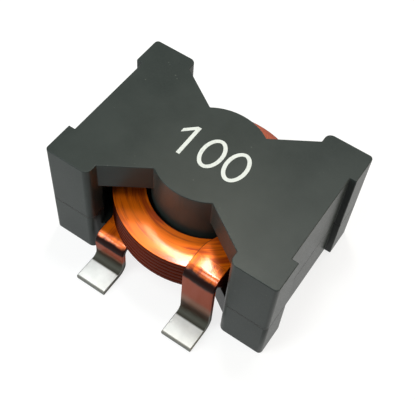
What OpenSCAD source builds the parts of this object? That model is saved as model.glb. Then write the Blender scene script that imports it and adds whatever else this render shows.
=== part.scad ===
// Shielded power inductor for surface mounting: a two-piece ferrite core of the PQ shape
// round one edge-wound coil of flat copper wire, whose two ends are bent down into solder feet.
// Millimetres. X is the long axis, -Y is the lead side, Z is up.
// The origin is the middle of the core's underside, which lies on the board.

/* [Core] */
// Width of the core over its legs
core_width = 18.8; // [17:0.2:22]
// Thickness of the plate of each core half
plate_thickness = 3.5; // [2:0.1:5]
// Height of the lower legs above the lower plate
lower_leg = 2.2; // [1:0.1:4]
// Thickness of each leg at its middle
leg_thickness = 2.5; // [2:0.1:4]
// Diameter of the round centre post
post_diameter = 12; // [11:0.2:14]
// Length of the legs' straight side walls beside the waist of the plate
tip_wall = 1.4; // [0.8:0.1:2]
// Distance from the core's middle to the point that the sides of each waist aim at
waist_depth = 2.65; // [1.5:0.05:4]
// Radius of the four outer corners of the core
corner_radius = 0.45; // [0.3:0.05:1.5]
// Radius of the corners of the leg tips
tip_radius = 0.75; // [0.1:0.05:1]
// Width of the clamp groove in each end face
groove_width = 11.3; // [8:0.1:14]
// Depth of the clamp groove in each end face
groove_depth = 0.75; // [0.3:0.05:1.2]
// Air gap in the middle of the centre post
air_gap = 0.6; // [0.2:0.1:1.5]
// Thickness of the adhesive film between the legs of the two halves
bond_thickness = 0.1; // [0.05:0.05:0.3]

/* [Winding] */
// Width of the flat wire
wire_width = 3.7; // [2.8:0.1:4.2]
// Thickness of the flat wire
wire_thickness = 0.6; // [0.5:0.02:1.2]
// Radius of the flat wire's rounded edges
wire_edge = 0.12; // [0.04:0.02:0.24]
// Clearance between one turn and the next
turn_clearance = 0.06; // [0.03:0.01:0.2]
// Whole turns, besides the part turn between the two leads
whole_turns = 6; // [3:1:10]
// Clearance between the centre post and the coil
post_clearance = 0.4; // [0.2:0.1:1]
// Clearance between the coil and the legs
leg_clearance = 0.9; // [0.4:0.1:2]
// Clearance between the lower plate and the lowest lead
seat_clearance = 0.3; // [0.1:0.05:0.8]
// Clearance between the highest lead and the upper plate
head_clearance = 1.66; // [0.3:0.02:2.5]

/* [Leads] */
// Distance between the middles of the two leads
lead_spacing = 11.2; // [10:0.1:13]
// Inner radius of the bend that takes each lead off the coil
lead_sweep = 1.6; // [1:0.1:2.2]
// Clearance between each lead and the leg tips beside it
side_clearance = 0.75; // [0.4:0.05:1.5]
// Distance of the upright leads from the plane of the core's front face
lead_clearance = 0.05; // [0:0.05:1]
// Inner radius of the bends in the leads
bend_radius = 0.7; // [0.3:0.05:0.8]
// Reach of the solder feet beyond the core's front face
foot_reach = 4; // [3:0.1:6]

/* [Coil bond] */
// Width of each adhesive pad under the coil
pad_width = 4; // [2:0.1:6]
// Length of each adhesive pad under the coil
pad_length = 2.4; // [1:0.1:3.4]
// Clearance between an adhesive pad and the wire above it
pad_clearance = 0.03; // [0.01:0.01:0.08]

/* [Hidden] */

ferrite = "#454a45";
adhesive = "#1d1c1b";
copper = "#b8601f";
$fn = 96;
cut_overrun = 1;

// Coil in plan: the ring round the post, and the leads that leave it at its front
post_radius = post_diameter / 2;
coil_radius = post_radius + post_clearance + wire_width / 2;
lead_x = lead_spacing / 2;
sweep_radius = lead_sweep + wire_width / 2;
leave_angle = acos((lead_x + sweep_radius) / (coil_radius + sweep_radius));

// Coil in height: the turns rise clockwise from the left lead to the right lead
pitch = wire_thickness + turn_clearance;
swept_turns = whole_turns + (180 + 2 * leave_angle) / 360;
coil_base = plate_thickness + seat_clearance;
coil_top = coil_base + swept_turns * pitch + wire_thickness;
turn_steps = 40;

// Core round the coil
window_radius = coil_radius + wire_width / 2 + leg_clearance;
core_length = 2 * (window_radius + leg_thickness);
tip_x = lead_x + wire_width / 2 + side_clearance;
core_height = coil_top + head_clearance + plate_thickness;
lower_height = plate_thickness + lower_leg;
upper_height = core_height - lower_height - bond_thickness;

// Leads
bend_mid = bend_radius + wire_thickness / 2;
upright_y = -core_width / 2 - lead_clearance - wire_thickness / 2;
foot_tip_y = -core_width / 2 - foot_reach;
sweep_steps = 5;
bend_steps = 5;

// Square corner with a round side, to be taken off an outline's corner at the origin
module corner_cutter(radius) {
    difference() {
        translate([-cut_overrun, -cut_overrun]) square(radius + cut_overrun);
        translate([radius, radius]) circle(radius);
    }
}

// Rectangle in the middle of the plane with four round corners
module round_rectangle(length, width, radius) {
    difference() {
        square([length, width], center = true);
        for (sx = [0, 1], sy = [0, 1])
            mirror([sx, 0]) mirror([0, sy])
                translate([-length / 2, -width / 2]) corner_cutter(radius);
    }
}

// One end of the core's outline, from the leg's tips to the grooved end face
module leg_outline() {
    difference() {
        round_rectangle(core_length, core_width, corner_radius);
        translate([-core_length, -core_width])
            square([core_length + tip_x, 2 * core_width]);
        translate([core_length / 2 - groove_depth, -groove_width / 2])
            square([groove_depth + cut_overrun, groove_width]);
        for (sy = [0, 1])
            mirror([0, sy]) translate([tip_x, -core_width / 2]) corner_cutter(tip_radius);
    }
}

// Both legs, hollowed by the round winding window
module leg_pair_outline() {
    for (sx = [0, 1])
        mirror([sx, 0]) difference() {
            leg_outline();
            circle(window_radius);
        }
}

// Web between the legs, which narrows to a waist on both sides
module waist_outline() {
    tip_y = core_width / 2 - tip_wall;
    polygon([[-tip_x, -tip_y], [0, -waist_depth], [tip_x, -tip_y],
             [tip_x, tip_y], [0, waist_depth], [-tip_x, tip_y]]);
}

// Plate of a core half
module plate_outline() {
    for (sx = [0, 1]) mirror([sx, 0]) leg_outline();
    waist_outline();
    circle(post_radius);
}

// Core half lying on its plate, with its post and legs standing up
module core_half(height, post_height) {
    linear_extrude(plate_thickness) plate_outline();
    translate([0, 0, plate_thickness]) {
        linear_extrude(height - plate_thickness) leg_pair_outline();
        cylinder(h = post_height - plate_thickness, r = post_radius);
    }
}

module lower_core() {
    color(ferrite) core_half(lower_height, lower_height);
}

module upper_core() {
    color(ferrite) translate([0, 0, core_height]) mirror([0, 0, 1])
        core_half(upper_height, upper_height - air_gap);
}

// Adhesive film on the mating face of one pair of legs
module bond_line(side) {
    translate([0, 0, lower_height]) linear_extrude(bond_thickness)
        mirror([side < 0 ? 1 : 0, 0]) difference() {
            leg_outline();
            circle(window_radius);
        }
}

module left_bond_line() {
    color(adhesive) bond_line(-1);
}

module right_bond_line() {
    color(adhesive) bond_line(1);
}

// Height of the lowest turn's underside at an angle seen from above
function turn_base(angle) = coil_base + pitch * (180 + leave_angle - angle) / 360;

// Adhesive pad on the lower plate, filled up to the lowest turn
module coil_bond(angle, side) {
    half_span = atan(pad_width / 2 / coil_radius);
    top = turn_base(angle + half_span) - pad_clearance;
    translate([side * coil_radius, 0, plate_thickness])
        linear_extrude(top - plate_thickness) round_rectangle(pad_length, pad_width, pad_length / 4);
}

module left_coil_bond() {
    color(adhesive) coil_bond(180, -1);
}

module right_coil_bond() {
    color(adhesive) coil_bond(0, 1);
}

// The wire is swept along stations, each of them a centre, a direction across the wire's width
// and a direction through its thickness.

// Station on the coil after a share of its sweep, seen from the left lead
function coil_station(share) =
    let (angle = 180 + leave_angle - share * swept_turns * 360,
         out = [cos(angle), sin(angle), 0],
         z = coil_base + wire_thickness / 2 + share * swept_turns * pitch)
    [coil_radius * out + [0, 0, z], out, [0, 0, 1]];

coil_steps = ceil(swept_turns * turn_steps);
coil_stations = [for (i = [0 : coil_steps]) coil_station(i / coil_steps)];

// Stations of one lead from the coil to the foot's tip, on the right for side 1 and left for side -1
function lead_stations(side, z) =
    let (centre_x = lead_x + sweep_radius,
         centre_y = -(coil_radius + sweep_radius) * sin(leave_angle),
         over = z - bend_mid,
         low = wire_thickness / 2 + bend_mid,
         wide = [side, 0, 0])
    concat(
        [for (i = [1 : sweep_steps])
            let (turn = leave_angle * (1 - i / sweep_steps),
                 out = [side * cos(turn), -sin(turn), 0])
            [[side * centre_x, centre_y, z] - sweep_radius * out, out, [0, 0, 1]]],
        [for (i = [0 : bend_steps])
            let (turn = 90 * i / bend_steps, up = [0, -sin(turn), cos(turn)])
            [[side * lead_x, upright_y + bend_mid, over] + bend_mid * up, wide, up]],
        [for (i = [0 : bend_steps])
            let (turn = 90 * (1 - i / bend_steps), up = [0, -sin(turn), cos(turn)])
            [[side * lead_x, upright_y - bend_mid, low] - bend_mid * up, wide, up]],
        [[[side * lead_x, foot_tip_y, wire_thickness / 2], wide, [0, 0, 1]]]);

// Corners of the wire's section, with its long edges cut round
function section(station) =
    let (w = wire_width / 2, t = wire_thickness / 2, r = wire_edge)
    [for (p = [[w, -t + r], [w, t - r], [w - r, t], [-w + r, t],
               [-w, t - r], [-w, -t + r], [-w + r, -t], [w - r, -t]])
        station[0] + p[0] * station[1] + p[1] * station[2]];

function reversed(list) = [for (i = [len(list) - 1 : -1 : 0]) list[i]];

// The left lead runs from its foot up to the coil, and the right one from the coil down
left_stations = reversed(lead_stations(-1, coil_base + wire_thickness / 2));
right_stations = lead_stations(1, coil_base + wire_thickness / 2 + swept_turns * pitch);

module winding() {
    stations = concat(left_stations, coil_stations, right_stations);
    sides = 8;
    last = len(stations) - 1;
    points = [for (s = stations) each section(s)];
    skin = [for (i = [0 : last - 1], j = [0 : sides - 1])
        let (k = (j + 1) % sides)
        [i * sides + k, i * sides + j, (i + 1) * sides + j, (i + 1) * sides + k]];
    first_cap = [for (j = [0 : sides - 1]) j];
    last_cap = [for (j = [sides - 1 : -1 : 0]) last * sides + j];
    color(copper) polyhedron(points, concat(skin, [first_cap, last_cap]));
}

lower_core();
upper_core();
left_bond_line();
right_bond_line();
left_coil_bond();
right_coil_bond();
winding();
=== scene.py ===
import math

import bmesh
import bpy
from mathutils import Matrix, Vector


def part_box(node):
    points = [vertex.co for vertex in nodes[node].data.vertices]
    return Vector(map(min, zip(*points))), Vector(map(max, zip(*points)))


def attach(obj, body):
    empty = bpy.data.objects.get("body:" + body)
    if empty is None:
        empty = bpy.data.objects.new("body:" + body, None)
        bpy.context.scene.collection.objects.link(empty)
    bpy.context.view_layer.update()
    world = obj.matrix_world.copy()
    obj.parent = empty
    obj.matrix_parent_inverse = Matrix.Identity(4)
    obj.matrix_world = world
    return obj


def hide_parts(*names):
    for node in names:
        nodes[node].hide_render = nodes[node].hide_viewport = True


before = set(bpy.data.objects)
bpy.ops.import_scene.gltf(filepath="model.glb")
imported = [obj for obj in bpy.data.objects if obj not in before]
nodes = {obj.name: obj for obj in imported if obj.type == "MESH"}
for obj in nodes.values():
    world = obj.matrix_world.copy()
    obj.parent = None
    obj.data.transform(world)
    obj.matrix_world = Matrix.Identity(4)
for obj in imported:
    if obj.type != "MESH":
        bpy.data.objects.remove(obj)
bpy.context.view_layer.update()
mm = 0.001
print("frame loaded:", ", ".join(sorted(nodes)))


# Small helpers for lengths, edit mode and node trees

def inMm(values):
    return [round(v / mm, 3) for v in values]


def deselectAll():
    bpy.ops.object.select_all(action="DESELECT")


def makeActive(piece):
    deselectAll()
    piece.select_set(True)
    bpy.context.view_layer.objects.active = piece


def startEdit(piece, mode="FACE", select="SELECT"):
    makeActive(piece)
    bpy.ops.object.mode_set(mode="EDIT")
    bpy.ops.mesh.select_mode(type=mode)
    bpy.ops.mesh.select_all(action=select)


def endEdit():
    bpy.ops.object.mode_set(mode="OBJECT")


def pickFaces(piece, test):
    work = bmesh.from_edit_mesh(piece.data)
    for face in work.faces:
        face.select_set(test(face))
    work.select_flush_mode()
    bmesh.update_edit_mesh(piece.data)


def extrudeBy(x, y, z):
    bpy.ops.mesh.extrude_region_move(TRANSFORM_OT_translate={"value": (x, y, z)})


def applyPlace():
    bpy.ops.object.transform_apply(location=True, rotation=True, scale=True)


def applyModifier(piece, kind, **settings):
    makeActive(piece)
    modifier = piece.modifiers.new(kind.lower(), kind)
    for name, value in settings.items():
        setattr(modifier, name, value)
    bpy.ops.object.modifier_apply(modifier=modifier.name)


def smoothByAngle(piece, degrees):
    makeActive(piece)
    bpy.ops.object.shade_smooth_by_angle(angle=math.radians(degrees))


def newMaterial(name):
    material = bpy.data.materials.new(name)
    material.use_nodes = True
    return material, material.node_tree, material.node_tree.nodes["Principled BSDF"]


def addNode(tree, kind, inputs=None, **settings):
    node = tree.nodes.new(kind)
    for name, value in settings.items():
        setattr(node, name, value)
    for name, value in (inputs or {}).items():
        if isinstance(value, bpy.types.NodeSocket):
            tree.links.new(value, node.inputs[name])
        else:
            node.inputs[name].default_value = value
    return node


def mathNode(tree, operation, *values):
    return addNode(tree, "ShaderNodeMath", operation=operation,
                   inputs=dict(enumerate(values))).outputs[0]


def ramp(tree, value, low, high, toLow=0.0, toHigh=1.0):
    node = addNode(tree, "ShaderNodeMapRange", interpolation_type="SMOOTHSTEP",
                   inputs={"Value": value, "From Min": low, "From Max": high,
                           "To Min": toLow, "To Max": toHigh})
    return node.outputs["Result"]


def blendValue(tree, share, first, second):
    # the number sockets of a Mix node are 2 and 3
    return addNode(tree, "ShaderNodeMix", inputs={0: share, 2: first, 3: second}).outputs[0]


def blendColor(tree, share, first, second):
    # the color sockets of a Mix node are 6 and 7, and a color here has three values
    colors = [value if isinstance(value, bpy.types.NodeSocket) else (*value, 1.0)
              for value in (first, second)]
    return addNode(tree, "ShaderNodeMix", data_type="RGBA",
                   inputs={0: share, 6: colors[0], 7: colors[1]}).outputs[2]


def noiseNode(tree, vector, scale, detail=4.0, roughness=0.55):
    return addNode(tree, "ShaderNodeTexNoise",
                   inputs={"Vector": vector, "Scale": scale, "Detail": detail,
                           "Roughness": roughness}).outputs["Fac"]


def addBump(tree, shader, height, strength, depth):
    bump = addNode(tree, "ShaderNodeBump",
                   inputs={"Strength": strength, "Distance": depth, "Height": height})
    tree.links.new(bump.outputs["Normal"], shader.inputs["Normal"])


# Sintered ferrite: dark grey with a faint green cast, soft clouds, a fine grain and a few specks

ferriteLook = {
    "dark": (0.0138, 0.0194, 0.0176),
    "light": (0.0225, 0.029, 0.0266),
    "speck": (0.055, 0.062, 0.055),
    "cloudScale": 160,
    "cloudRange": (0.3, 0.7),
    "grainScale": 5200,
    "grainRange": (0.35, 0.75),
    "grainShare": 0.35,
    "speckScale": 1500,
    "speckSize": (0.05, 0.16),
    "speckPatches": 500,
    "speckRarity": (0.60, 0.68),
    "roughness": (0.33, 0.41),
    "roughRange": (0.3, 0.7),
    "specular": 0.16,
    "bump": 0.12,
    "bumpDepth": 0.03 * mm,
}


def ferriteMaterial(look):
    material, tree, shader = newMaterial("sinteredFerrite")
    place = tree.nodes.new("ShaderNodeTexCoord").outputs["Object"]
    cloud = noiseNode(tree, place, look["cloudScale"], detail=3)
    grain = noiseNode(tree, place, look["grainScale"], detail=3, roughness=0.7)
    body = blendColor(tree, ramp(tree, cloud, *look["cloudRange"]), look["dark"], look["light"])
    grainy = mathNode(tree, "MULTIPLY", ramp(tree, grain, *look["grainRange"]), look["grainShare"])
    grained = blendColor(tree, grainy, body, look["light"])

    # specks show only in scattered patches
    cells = addNode(tree, "ShaderNodeTexVoronoi",
                    inputs={"Vector": place, "Scale": look["speckScale"]})
    speck = ramp(tree, cells.outputs["Distance"], *look["speckSize"], 1.0, 0.0)
    patches = noiseNode(tree, place, look["speckPatches"], detail=1)
    rare = mathNode(tree, "MULTIPLY", speck, ramp(tree, patches, *look["speckRarity"]))
    tree.links.new(blendColor(tree, rare, grained, look["speck"]), shader.inputs["Base Color"])

    roughness = ramp(tree, grain, *look["roughRange"], *look["roughness"])
    tree.links.new(roughness, shader.inputs["Roughness"])
    shader.inputs["Specular IOR Level"].default_value = look["specular"]
    addBump(tree, shader, grain, look["bump"], look["bumpDepth"])
    return material


# Enamelled copper with drawn streaks, tinned on the feet; darker edges partly painted shade, scorch
# down the leads partly painted dark reflection, painted dark reflection on each knee, painted shade in
# each ankle and on the coil's back

copperLook = {
    "bright": (0.90, 0.170, 0.004),
    "deep": (0.42, 0.055, 0.006),
    "paintedBackShade": (0.20, 0.030, 0.006),
    "edge": (0.056, 0.006, 0.001),
    "paintedKneeReflection": (0.012, 0.002, 0.001),
    "scorchedAndDarkReflection": (0.240, 0.032, 0.003),
    "paleTin": (0.20, 0.085, 0.050),
    "burntTin": (0.046, 0.026, 0.017),
    "ankleShadeTin": (0.066, 0.066, 0.053),
    "brightTin": (0.95, 0.955, 0.94),
    "tinEdgeAndShade": (0.20, 0.20, 0.18),

    # where the leads leave the coil, and where the painted shade on the coil's back begins
    "ringRadius": 8.24 * mm,
    "leadX": 5.6 * mm,
    "leadHalf": 1.95 * mm,
    "leftLeadTop": 4.43 * mm,
    "straightRun": (-7.5 * mm, -7.8 * mm),
    "leadRun": (-8.7 * mm, -9.0 * mm),
    "backShadeRun": (1.0 * mm, 8.0 * mm),
    "backShadeShare": 0.9,

    # zones down the leads, each with a value for the left lead and one for the right
    "kneeZ": (3.5 * mm, 7.92 * mm),
    "kneeReflectionEnd": (0.4 * mm, 0.6 * mm),
    "paleLine": (2.1 * mm, 3.9 * mm),
    "tinLine": (1.8 * mm, 2.7 * mm),
    "tinFade": (0.3 * mm, 0.7 * mm),

    # zones that are alike on both leads
    "waveScale": 520,
    "waveHeight": 0.9 * mm,
    "scorchAndDarkReflectionStart": (-0.95 * mm, -0.5 * mm),
    "kneeReflectionStart": 0.1 * mm,
    "ankleShadeRise": (0.8 * mm, 1.7 * mm),
    "footFlat": (-10.78 * mm, -11.02 * mm),
    "footCut": (-13.18 * mm, -13.34 * mm),
    "mottleScale": 900,
    "mottleRange": (0.3, 0.7),
    "mottleLow": 0.90,

    # streaks of the drawn wire
    "streakAcross": 1500,
    "streakAlong": 160,
    "streakUp": 260,
    "fineAcross": 9000,
    "toneShares": (0.85, 0.15),
    "toneRange": (0.36, 0.56),
    "edgeTurn": (0.99, 0.90),

    # finish of the orange stretches, the narrow edges and the tin
    "metallic": (0.45, 0.96, 0.15),
    "orangeRoughness": (0.42, 0.33),
    "roughRange": (0.3, 0.7),
    "edgeRoughness": 0.5,
    "tinRoughness": 0.6,
    "specular": 0.15,
    "coatRoughness": 0.16,
    "anisotropy": 0.85,
    "tangentRise": 0.4 * mm,
    "rippleShares": (0.8, 0.02),
    "bump": 0.25,
    "bumpDepth": 0.06 * mm,
}


def copperMaterial(look):
    material, tree, shader = newMaterial("enamelledCopper")
    place = tree.nodes.new("ShaderNodeTexCoord").outputs["Object"]
    x, y, z = addNode(tree, "ShaderNodeSeparateXYZ", inputs={"Vector": place}).outputs
    flat = addNode(tree, "ShaderNodeCombineXYZ", inputs={"X": x, "Y": y}).outputs[0]
    radius = addNode(tree, "ShaderNodeVectorMath", operation="LENGTH",
                     inputs={0: flat}).outputs["Value"]

    # coil or lead: on the left, all that stands higher than the lead is coil
    sideways = mathNode(tree, "SUBTRACT", mathNode(tree, "ABSOLUTE", x), look["leadX"])
    nearLead = mathNode(tree, "LESS_THAN", mathNode(tree, "ABSOLUTE", sideways), look["leadHalf"])
    onRight = mathNode(tree, "GREATER_THAN", x, 0.0)
    underCoil = mathNode(tree, "LESS_THAN", z, look["leftLeadTop"])
    besideLead = mathNode(tree, "MULTIPLY", mathNode(tree, "MAXIMUM", onRight, underCoil), nearLead)
    onLead = mathNode(tree, "MULTIPLY", besideLead, ramp(tree, y, *look["leadRun"]))
    straight = mathNode(tree, "MULTIPLY", besideLead, ramp(tree, y, *look["straightRun"]))

    # streaks run round the coil and then down each lead
    turnArc = mathNode(tree, "MULTIPLY", mathNode(tree, "ARCTAN2", y, x), look["ringRadius"])
    across = blendValue(tree, straight, radius, x)
    along = blendValue(tree, straight, turnArc, mathNode(tree, "ADD", y, z))
    drawn = addNode(tree, "ShaderNodeCombineXYZ", inputs={
        "X": mathNode(tree, "MULTIPLY", across, look["streakAcross"]),
        "Y": mathNode(tree, "MULTIPLY", along, look["streakAlong"]),
        "Z": mathNode(tree, "MULTIPLY", z, look["streakUp"])}).outputs[0]
    streak = noiseNode(tree, drawn, 1.0, detail=3)
    fine = addNode(tree, "ShaderNodeTexNoise", noise_dimensions="1D",
                   inputs={"W": across, "Scale": look["fineAcross"], "Detail": 3.0}).outputs["Fac"]

    def streaks(broadShare, fineShare):
        return mathNode(tree, "ADD", mathNode(tree, "MULTIPLY", streak, broadShare),
                        mathNode(tree, "MULTIPLY", fine, fineShare))

    tone = streaks(*look["toneShares"])
    enamel = blendColor(tree, ramp(tree, tone, *look["toneRange"]), look["deep"], look["bright"])
    # painted shade: the coil's back is darkened toward +y
    backShade = ramp(tree, y, *look["backShadeRun"], 0.0, look["backShadeShare"])
    enamel = blendColor(tree, backShade, enamel, look["paintedBackShade"])

    # narrow edges of the wire, on the coil's walls and along the leads, darkened: partly darker enamel
    # on the edges, partly painted shade
    facing = addNode(tree, "ShaderNodeSeparateXYZ", inputs={
        "Vector": tree.nodes.new("ShaderNodeTexCoord").outputs["Normal"]}).outputs
    forward = mathNode(tree, "MULTIPLY", onLead, facing["Y"])
    broad = mathNode(tree, "SQRT", mathNode(
        tree, "ADD", mathNode(tree, "MULTIPLY", forward, forward),
        mathNode(tree, "MULTIPLY", facing["Z"], facing["Z"])))
    edge = ramp(tree, broad, *look["edgeTurn"])
    enamel = blendColor(tree, edge, enamel, look["edge"])

    # heights where each lead bends and where its tin begins
    def bySide(values):
        left, right = values
        return mathNode(tree, "ADD", left, mathNode(tree, "MULTIPLY", onRight, right - left))

    wave = mathNode(tree, "SUBTRACT", noiseNode(tree, place, look["waveScale"]), 0.5)
    wavy = mathNode(tree, "ADD", z, mathNode(tree, "MULTIPLY", wave, look["waveHeight"]))
    belowKnee = mathNode(tree, "SUBTRACT", bySide(look["kneeZ"]), wavy)
    # down from each knee the lead darkens: partly scorched enamel, partly painted dark reflection
    scorchAndDarkReflection = mathNode(tree, "MULTIPLY", onLead, ramp(tree, belowKnee, *look["scorchAndDarkReflectionStart"]))
    # painted dark reflection: a near-black band on the knee's bend
    kneeReflectionFade = ramp(tree, belowKnee, look["kneeReflectionStart"], bySide(look["kneeReflectionEnd"]), 1.0, 0.0)
    kneeReflection = mathNode(tree, "MULTIPLY", scorchAndDarkReflection, kneeReflectionFade)
    scorchAndKneeReflection = blendColor(tree, kneeReflection, look["scorchedAndDarkReflection"], look["paintedKneeReflection"])
    enamel = blendColor(tree, scorchAndDarkReflection, enamel, scorchAndKneeReflection)

    def downLead(line):
        drop = mathNode(tree, "SUBTRACT", bySide(line), wavy)
        run = mathNode(tree, "DIVIDE", drop, bySide(look["tinFade"]))
        return mathNode(tree, "MULTIPLY", onLead, ramp(tree, run, -1.0, 1.0))

    enamel = blendColor(tree, downLead(look["paleLine"]), enamel, look["paleTin"])
    tinned = downLead(look["tinLine"])
    mottle = ramp(tree, noiseNode(tree, place, look["mottleScale"]), *look["mottleRange"],
                  look["mottleLow"], 1.0)
    polished = mathNode(tree, "MULTIPLY", mottle, ramp(tree, y, *look["footFlat"]))
    # painted shade: the tin in the ankle's concave bend is darker than the tin above
    tin = blendColor(tree, ramp(tree, wavy, *look["ankleShadeRise"]), look["ankleShadeTin"], look["burntTin"])
    tin = blendColor(tree, polished, tin, look["brightTin"])
    cutEnd = ramp(tree, y, *look["footCut"])
    # the tin's side faces and cut end are darker: partly bare cut edges, partly painted shade
    tin = blendColor(tree, mathNode(tree, "MAXIMUM", edge, cutEnd), tin, look["tinEdgeAndShade"])
    tree.links.new(blendColor(tree, tinned, enamel, tin), shader.inputs["Base Color"])

    # the orange stretches keep their clear coat, and tin and edges are duller
    def byZone(orangePart, edgePart, tinPart):
        bare = blendValue(tree, edge, orangePart, edgePart)
        return blendValue(tree, tinned, bare, tinPart)

    tree.links.new(byZone(*look["metallic"]), shader.inputs["Metallic"])
    orangeRoughness = ramp(tree, tone, *look["roughRange"], *look["orangeRoughness"])
    roughness = byZone(orangeRoughness, look["edgeRoughness"], look["tinRoughness"])
    tree.links.new(roughness, shader.inputs["Roughness"])
    shader.inputs["Specular IOR Level"].default_value = look["specular"]
    uncoated = mathNode(tree, "MAXIMUM", edge, scorchAndDarkReflection)
    tree.links.new(mathNode(tree, "SUBTRACT", 1.0, uncoated), shader.inputs["Coat Weight"])
    shader.inputs["Coat Roughness"].default_value = look["coatRoughness"]

    # drawn wire spreads its shine across the streaks
    shader.inputs["Anisotropic"].default_value = look["anisotropy"]
    tangent = addNode(tree, "ShaderNodeCombineXYZ", inputs={
        "X": blendValue(tree, straight, x, look["leadX"]),
        "Y": blendValue(tree, straight, y, 0.0),
        "Z": look["tangentRise"]}).outputs[0]
    tree.links.new(tangent, shader.inputs["Tangent"])
    addBump(tree, shader, streaks(*look["rippleShares"]), look["bump"], look["bumpDepth"])
    return material


# Cured epoxy between the core halves and under the coil

epoxyLook = {
    "dark": (0.010, 0.010, 0.010),
    "light": (0.030, 0.027, 0.024),
    "lumpScale": 1400,
    "lumpRange": (0.35, 0.7),
    "roughness": (0.3, 0.55),
    "roughRange": (0.3, 0.7),
    "bump": 0.3,
    "bumpDepth": 0.05 * mm,
}


def epoxyMaterial(look):
    material, tree, shader = newMaterial("curedEpoxy")
    place = tree.nodes.new("ShaderNodeTexCoord").outputs["Object"]
    lumps = noiseNode(tree, place, look["lumpScale"])
    color = blendColor(tree, ramp(tree, lumps, *look["lumpRange"]), look["dark"], look["light"])
    tree.links.new(color, shader.inputs["Base Color"])
    roughness = ramp(tree, lumps, *look["roughRange"], *look["roughness"])
    tree.links.new(roughness, shader.inputs["Roughness"])
    addBump(tree, shader, lumps, look["bump"], look["bumpDepth"])
    return material


# White printing ink, greyer where it is thin

inkLook = {
    "thin": (0.40, 0.42, 0.40),
    "full": (0.56, 0.58, 0.555),
    "patchScale": 3600,
    "patchRange": (0.26, 0.5),
    "roughness": 0.6,
}


def inkMaterial(look):
    material, tree, shader = newMaterial("printedInk")
    place = tree.nodes.new("ShaderNodeTexCoord").outputs["Object"]
    patches = noiseNode(tree, place, look["patchScale"], detail=5, roughness=0.65)
    color = blendColor(tree, ramp(tree, patches, *look["patchRange"]), look["thin"], look["full"])
    tree.links.new(color, shader.inputs["Base Color"])
    shader.inputs["Roughness"].default_value = look["roughness"]
    return material


ferrite = ferriteMaterial(ferriteLook)
copper = copperMaterial(copperLook)
epoxy = epoxyMaterial(epoxyLook)
ink = inkMaterial(inkLook)
print("materials made")


# Core halves: the frame's solids with their edges worn round

coreFinish = {
    "mergeDistance": 0.0005 * mm,
    "flatAngle": 0.5,
    "edgeRadius": 0.09 * mm,
    "edgeSteps": 3,
    "sharpAngle": 38,
    "smoothAngle": 32,
}


def wornCore(name, node, finish):
    piece = bpy.data.objects.new(name, nodes[node].data.copy())
    bpy.context.scene.collection.objects.link(piece)
    startEdit(piece)
    bpy.ops.mesh.remove_doubles(threshold=finish["mergeDistance"])
    bpy.ops.mesh.dissolve_limited(angle_limit=math.radians(finish["flatAngle"]))
    endEdit()
    applyModifier(piece, "BEVEL", width=finish["edgeRadius"], segments=finish["edgeSteps"],
                  limit_method="ANGLE", angle_limit=math.radians(finish["sharpAngle"]))
    smoothByAngle(piece, finish["smoothAngle"])
    applyModifier(piece, "WEIGHTED_NORMAL", keep_sharp=True)
    piece.data.materials.clear()
    piece.data.materials.append(ferrite)
    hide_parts(node)
    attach(piece, "root")
    print("core half done:", name, len(piece.data.polygons), "faces")


wornCore("lowerCoreHalf", "lower_core", coreFinish)
wornCore("upperCoreHalf", "upper_core", coreFinish)


# Winding: a flat wire screwed round the post, whose ends are spun down into the feet

wire = {
    "width": 3.68 * mm,
    "thickness": 0.6 * mm,
    "edge": 0.12 * mm,
    "edgeSteps": 4,
    "ringRadius": 8.24 * mm,
    "base": 3.8 * mm,
    "pitch": 0.66 * mm,
    "wholeTurns": 6,
    "leadX": 5.6 * mm,
    "sweep": 3.45 * mm,
    "uprightY": -9.75 * mm,
    "bend": 1.0 * mm,
    "footTipY": -13.4 * mm,
    "stepsPerTurn": 72,
    "sweepSteps": 10,
    "bendSteps": 12,
    "endReach": 0.1 * mm,
    "mergeDistance": 0.0005 * mm,
    "smoothAngle": 35,
}


def flatWireRing(name, wire, leaveAngle, turns):
    deselectAll()
    bpy.ops.mesh.primitive_plane_add(size=1)
    piece = bpy.context.object
    piece.name = name
    piece.scale = (wire["width"], wire["thickness"], 1)
    piece.rotation_euler = (math.radians(90), 0, 0)
    piece.location = (wire["ringRadius"], 0, wire["base"] + wire["thickness"] / 2)
    applyPlace()
    startEdit(piece, "VERT")
    bpy.ops.mesh.bevel(offset=wire["edge"], segments=wire["edgeSteps"], affect="VERTICES")
    bpy.ops.mesh.select_all(action="SELECT")
    bpy.ops.mesh.delete(type="ONLY_FACE")
    endEdit()
    piece.rotation_euler = (0, 0, math.pi + leaveAngle)
    applyPlace()
    steps = round(turns * wire["stepsPerTurn"])
    applyModifier(piece, "SCREW", axis="Z", angle=-turns * 2 * math.pi,
                  screw_offset=turns * wire["pitch"], steps=steps, render_steps=steps,
                  use_smooth_shade=True)
    startEdit(piece)
    bpy.ops.mesh.fill_holes(sides=0)
    endEdit()
    return piece


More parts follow.
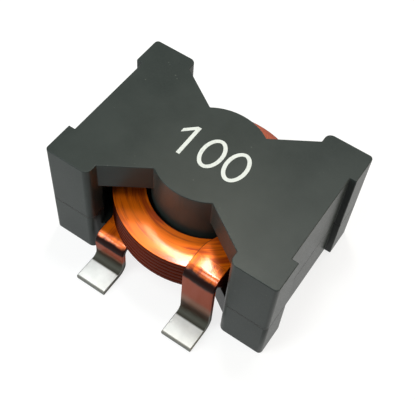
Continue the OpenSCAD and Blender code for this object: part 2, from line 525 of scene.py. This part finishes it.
def formLead(piece, wire, side, z, leaveAngle):
    ring = wire["ringRadius"]
    sweep = wire["sweep"]
    bend = wire["bend"]
    out = Vector((side * math.cos(leaveAngle), -math.sin(leaveAngle), 0))
    leaving = ring * out + Vector((0, 0, z))
    sweepCentre = (ring + sweep) * out + Vector((0, 0, z))
    kneeCentre = Vector((side * wire["leadX"], wire["uprightY"] + bend, z - bend))
    ankleCentre = Vector((side * wire["leadX"], wire["uprightY"] - bend, wire["thickness"] / 2 + bend))

    # from the coil's open end, the only many-sided face there, to the tip of the foot
    startEdit(piece, select="DESELECT")
    pickFaces(piece, lambda face: len(face.verts) > 6
              and (face.calc_center_median() - leaving).length < wire["endReach"])
    bpy.ops.mesh.spin(steps=wire["sweepSteps"], angle=-side * leaveAngle,
                      center=sweepCentre, axis=(0, 0, 1))
    extrudeBy(0, kneeCentre.y - sweepCentre.y, 0)
    bpy.ops.mesh.spin(steps=wire["bendSteps"], angle=-math.pi / 2, center=kneeCentre, axis=(1, 0, 0))
    extrudeBy(0, 0, ankleCentre.z - kneeCentre.z)
    bpy.ops.mesh.spin(steps=wire["bendSteps"], angle=math.pi / 2, center=ankleCentre, axis=(1, 0, 0))
    extrudeBy(0, wire["footTipY"] - ankleCentre.y, 0)
    endEdit()


def makeWinding(wire):
    leaveAngle = math.acos((wire["leadX"] + wire["sweep"]) / (wire["ringRadius"] + wire["sweep"]))
    turns = wire["wholeTurns"] + (math.pi + 2 * leaveAngle) / (2 * math.pi)
    piece = flatWireRing("flatWireCoil", wire, leaveAngle, turns)
    startZ = wire["base"] + wire["thickness"] / 2
    formLead(piece, wire, -1, startZ, leaveAngle)
    formLead(piece, wire, 1, startZ + turns * wire["pitch"], leaveAngle)
    startEdit(piece)
    bpy.ops.mesh.remove_doubles(threshold=wire["mergeDistance"])
    bpy.ops.mesh.normals_make_consistent(inside=False)
    endEdit()
    smoothByAngle(piece, wire["smoothAngle"])
    piece.data.materials.append(copper)
    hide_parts("winding")
    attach(piece, "root")
    corners = [tuple(inMm(corner)) for corner in (piece.bound_box[0], piece.bound_box[6])]
    print("winding done:", len(piece.data.polygons), "faces", corners)


makeWinding(wire)


# Adhesive films and pads stay as the frame has them

for name in ("left_bond_line", "right_bond_line", "left_coil_bond", "right_coil_bond"):
    nodes[name].data.materials.clear()
    nodes[name].data.materials.append(epoxy)
print("adhesive done")


# Plain printed number on the upper plate

numberPrint = {
    "height": 4.0 * mm,
    "stroke": 0.42 * mm,
    "stemX": -2.72 * mm,
    "flagReach": 1.1 * mm,
    "flagDrop": 1.05 * mm,
    "flagRoot": 1.25,  # strokes from the top of the stem
    "ovalX": (0.12 * mm, 2.98 * mm),
    "ovalWidth": 2.55 * mm,
    "ovalSteps": 64,
    "ink": 0.008 * mm,
}


def ovalDigit(look, x, z):
    deselectAll()
    bpy.ops.mesh.primitive_circle_add(vertices=look["ovalSteps"], radius=0.5, fill_type="NGON",
                                      location=(x, 0, z))
    piece = bpy.context.object
    piece.scale = (look["ovalWidth"], look["height"], 1)
    applyPlace()
    startEdit(piece)
    bpy.ops.mesh.inset(thickness=look["stroke"])
    bpy.ops.mesh.delete(type="FACE")
    bpy.ops.mesh.select_all(action="SELECT")
    extrudeBy(0, 0, look["ink"])
    endEdit()
    return piece


def strokeDigit(look, z):
    stroke = look["stroke"]
    rootY = look["height"] / 2 - look["flagRoot"] * stroke
    leftX = look["stemX"] - stroke / 2
    near = 0.01 * mm
    deselectAll()
    bpy.ops.mesh.primitive_plane_add(size=1, location=(look["stemX"], 0, z))
    piece = bpy.context.object
    piece.scale = (stroke, look["height"], 1)
    applyPlace()
    startEdit(piece)
    bpy.ops.mesh.bisect(plane_co=(0, rootY, z), plane_no=(0, 1, 0))
    endEdit()

    # the flag grows out of the top of the stem's left side
    startEdit(piece, "EDGE", select="DESELECT")
    work = bmesh.from_edit_mesh(piece.data)
    for side in work.edges:
        side.select_set(all(abs(v.co.x - leftX) < near and v.co.y > rootY - near for v in side.verts))
    bmesh.update_edit_mesh(piece.data)
    extrudeBy(-look["flagReach"], -look["flagDrop"], 0)
    bpy.ops.mesh.select_all(action="SELECT")
    extrudeBy(0, 0, look["ink"])
    endEdit()
    return piece


def printNumber(look):
    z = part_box("upper_core")[1].z - look["ink"] / 2
    digits = [strokeDigit(look, z)] + [ovalDigit(look, x, z) for x in look["ovalX"]]
    makeActive(digits[0])
    for digit in digits:
        digit.select_set(True)
    bpy.ops.object.join()
    piece = bpy.context.object
    piece.name = "printedNumber"
    startEdit(piece)
    bpy.ops.mesh.normals_make_consistent(inside=False)
    endEdit()
    piece.data.materials.append(ink)
    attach(piece, "root")
    print("number printed:", inMm(piece.dimensions))


printNumber(numberPrint)


# Pale floor, soft lamps and a camera at the photograph's angle

studio = {
    "floorSize": 1.2,
    "floorZ": -0.02 * mm,
    "floorSeen": (0.23, 0.23, 0.23),
    "floorGlow": 0.80,
    "floorBounce": (0.42, 0.42, 0.42),
    "floorRoughness": 0.9,
    "skyHigh": 0.18,
    "skyLow": 0.06,
    "skyRange": (0.0, 0.9),
    "lampAim": (0, 0, 7 * mm),
    "lamps": (  # name, place, size, power and color
        ("topBox", (-0.014, 0.031, 0.147), 0.022, 0.07, (0.96, 1.0, 0.98)),
        ("sheenBox", (0.018, 0.068, 0.15), 0.04, 0.062, (1.0, 0.99, 0.95)),
        ("overBox", (-0.012, -0.05, 0.15), 0.04, 0.048, (0.98, 1.0, 0.98)),
        ("glintBox", (-0.028, 0.047, 0.132), 0.017, 0.036, (1.0, 0.91, 0.70)),
        ("sideBox", (0.105, 0.03, 0.03), 0.06, 0.055, (1.0, 0.82, 0.58)),
        ("frontFill", (-0.085, -0.115, 0.095), 0.09, 0.18, (0.92, 1.0, 0.99)),
    ),
}


def seenRay(tree):
    rays = tree.nodes.new("ShaderNodeLightPath").outputs
    direct = mathNode(tree, "MAXIMUM", rays["Is Camera Ray"], rays["Is Glossy Ray"])
    return mathNode(tree, "MAXIMUM", direct, rays["Is Transmission Ray"])


def makeFloor(look):
    deselectAll()
    bpy.ops.mesh.primitive_plane_add(size=look["floorSize"], location=(0, 0, look["floorZ"]))
    floor = bpy.context.object
    floor.name = "paleFloor"
    material, tree, shader = newMaterial("paleFloor")
    seen = seenRay(tree)
    color = blendColor(tree, seen, look["floorBounce"], look["floorSeen"])
    tree.links.new(color, shader.inputs["Base Color"])
    shader.inputs["Emission Color"].default_value = (1, 1, 1, 1)
    glow = mathNode(tree, "MULTIPLY", seen, look["floorGlow"])
    tree.links.new(glow, shader.inputs["Emission Strength"])
    shader.inputs["Roughness"].default_value = look["floorRoughness"]
    shader.inputs["Specular IOR Level"].default_value = 0.0
    floor.data.materials.append(material)


def makeSky(look):
    world = bpy.data.worlds.new("studioSky")
    bpy.context.scene.world = world
    world.use_nodes = True
    tree = world.node_tree
    background = tree.nodes["Background"]
    direction = tree.nodes.new("ShaderNodeTexCoord").outputs["Generated"]
    height = addNode(tree, "ShaderNodeSeparateXYZ", inputs={"Vector": direction}).outputs["Z"]
    glow = ramp(tree, height, *look["skyRange"], look["skyLow"], look["skyHigh"])
    strength = blendValue(tree, seenRay(tree), glow, 1.0)  # white where it is seen
    tree.links.new(strength, background.inputs["Strength"])
    background.inputs["Color"].default_value = (1, 1, 1, 1)


def placeLamps(look):
    for name, place, size, power, color in look["lamps"]:
        lamp = bpy.data.objects.new(name, bpy.data.lights.new(name, "AREA"))
        bpy.context.scene.collection.objects.link(lamp)
        lamp.data.size = size
        lamp.data.energy = power
        lamp.data.color = color
        lamp.location = place
        aim = Vector(look["lampAim"]) - Vector(place)
        lamp.rotation_euler = aim.to_track_quat("-Z", "Y").to_euler()


makeFloor(studio)
makeSky(studio)
placeLamps(studio)
print("studio done")


cameraView = {
    "azimuth": 28.74,
    "elevation": 56.01,
    "roll": 6.36,
    "distance": 85.39 * mm,
    "target": (0.215 * mm, -0.114 * mm, 5.918 * mm),
    "lens": 68.69,
    "sensor": 36,
    "clip": (1 * mm, 10),
}


def placeCamera(view):
    camera = bpy.data.objects.new("photoCamera", bpy.data.cameras.new("photoCamera"))
    bpy.context.scene.collection.objects.link(camera)
    turn = (Matrix.Rotation(math.radians(view["azimuth"]), 3, "Z")
            @ Matrix.Rotation(math.radians(90 - view["elevation"]), 3, "X")
            @ Matrix.Rotation(math.radians(view["roll"]), 3, "Z"))
    camera.rotation_euler = turn.to_euler()
    camera.location = Vector(view["target"]) + turn @ Vector((0, 0, view["distance"]))
    camera.data.lens = view["lens"]
    camera.data.sensor_width = view["sensor"]
    camera.data.sensor_fit = "HORIZONTAL"
    camera.data.clip_start, camera.data.clip_end = view["clip"]
    bpy.context.scene.camera = camera
    print("camera placed")


placeCamera(cameraView)
bpy.context.scene.view_settings.view_transform = "Standard"
